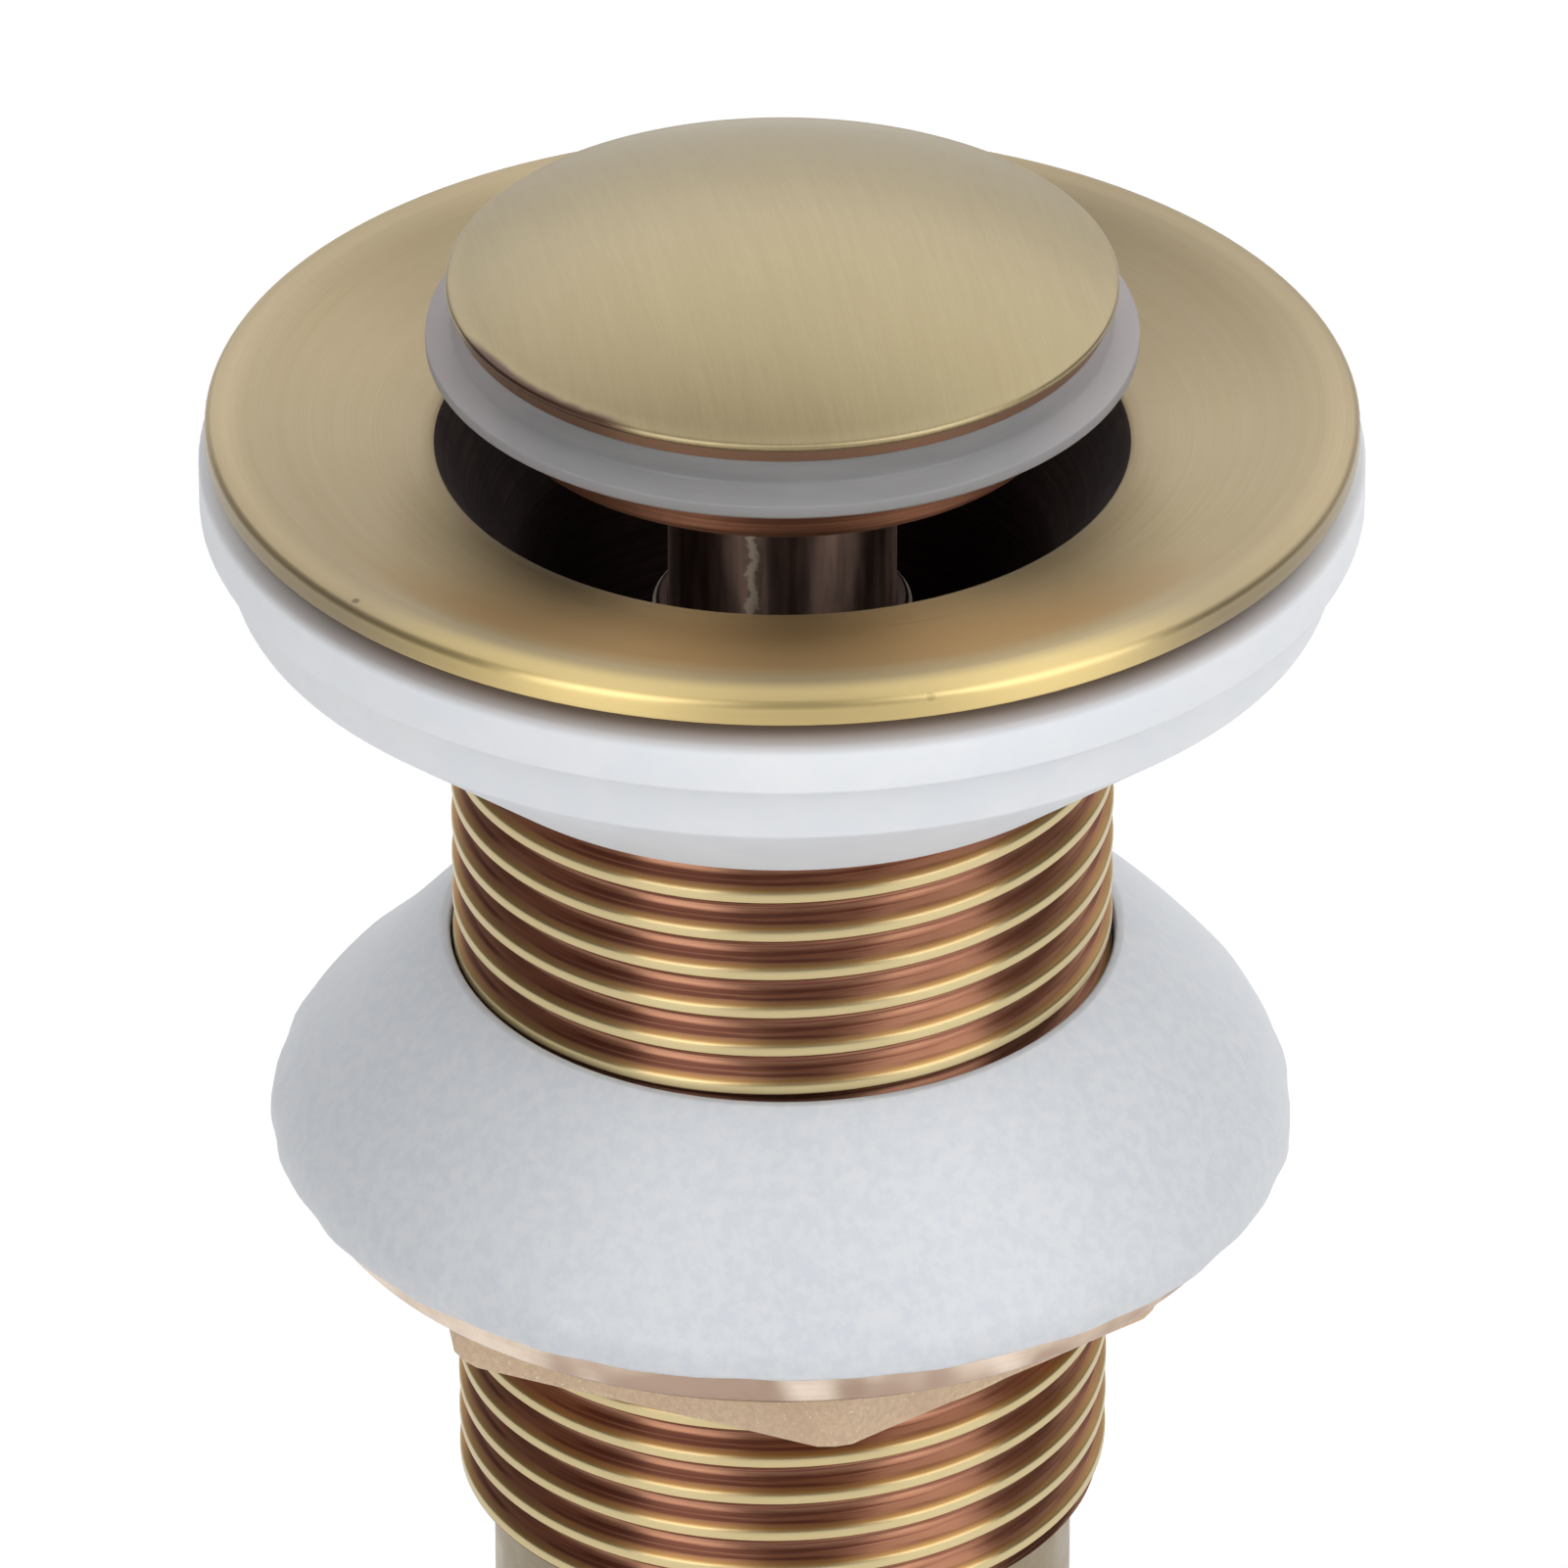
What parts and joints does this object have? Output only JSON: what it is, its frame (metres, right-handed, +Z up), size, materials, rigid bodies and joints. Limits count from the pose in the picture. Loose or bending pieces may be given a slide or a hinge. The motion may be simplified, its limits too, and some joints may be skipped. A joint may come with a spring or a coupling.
{
  "type": "pop up basin waste",
  "caption": "Push-to-close basin waste: a spring plug with a lip seal in a dished flange, on a threaded shank with a tapered gasket, cone washer, back nut and tail pipe.",
  "frame": {"origin": "on the axis, at the plane of the underside of the flange's rim, where the waste sits in the basin", "axes": "+Z up along the axis, from the tail to the cap; X and Y across, with the picture's viewer at -Y"},
  "size_m": [0.066, 0.066, 0.1616],
  "materials": {
    "flange_brass": "brushed antique brass",
    "cap_brass": "brushed antique brass",
    "tail_brass": "satin brass",
    "nut_brass": "raw sand-cast and turned brass",
    "inner_brass": "plain turned brass",
    "base_bronze": "dark copper-brown",
    "barrel_bronze": "dark bronze",
    "white_rubber": "matte white",
    "clear_silicone": "translucent, satin",
    "washer_silicone": "translucent white, satin",
    "black_rubber": "matte",
    "steel": "bright",
    "drum_plastic": "natural acetal"
  },
  "bodies": {
    "waste": {"waste_body": "flange_brass", "bridge": "inner_brass", "gland_bush": "inner_brass", "cartridge_casing": "inner_brass", "guide_pins": "steel", "cartridge_stud": "inner_brass", "height_nut": "inner_brass", "return_spring": "steel", "basin_gasket": "white_rubber", "tail_ring": "black_rubber", "tail_pipe": "tail_brass"},
    "plug": {"plug_cap": "cap_brass", "plug_seal": "clear_silicone", "plug_base": "base_bronze", "cap_stud": "steel", "push_barrel": "barrel_bronze", "thrust_washer": "steel"},
    "drum": {"latch_drum": "drum_plastic"},
    "washer": {"lower_washer": "washer_silicone"},
    "nut": {"back_nut": "nut_brass"}
  },
  "joints": [
    {"name": "plug_press", "type": "slide", "parent": "waste", "child": "plug", "axis": [0, 0, 1], "range_m": [-0.0059, 0], "stiffness_N_per_m": 500, "springref_m": 0.008, "deforming": ["return_spring"]},
    {"name": "drum_index", "type": "hinge", "parent": "plug", "child": "drum", "pos_m": [0, 0, -0.02765], "axis": [0, 0, 1], "range_deg": [-46, 0]},
    {"name": "washer_rise", "type": "slide", "parent": "waste", "child": "washer", "axis": [0, 0, 1], "range_m": [-0.0128, 0.0153]},
    {"name": "nut_turn", "type": "hinge", "parent": "washer", "child": "nut", "pos_m": [0, 0, -0.0494], "axis": [0, 0, 1], "range_deg": [-1800, 2160]}
  ],
  "couplings": [
    {"joint": "drum_index", "follows": "plug_press", "rad_per_m": 133.12},
    {"joint": "washer_rise", "follows": "nut_turn", "m_per_rad": 0.00040425}
  ]
}
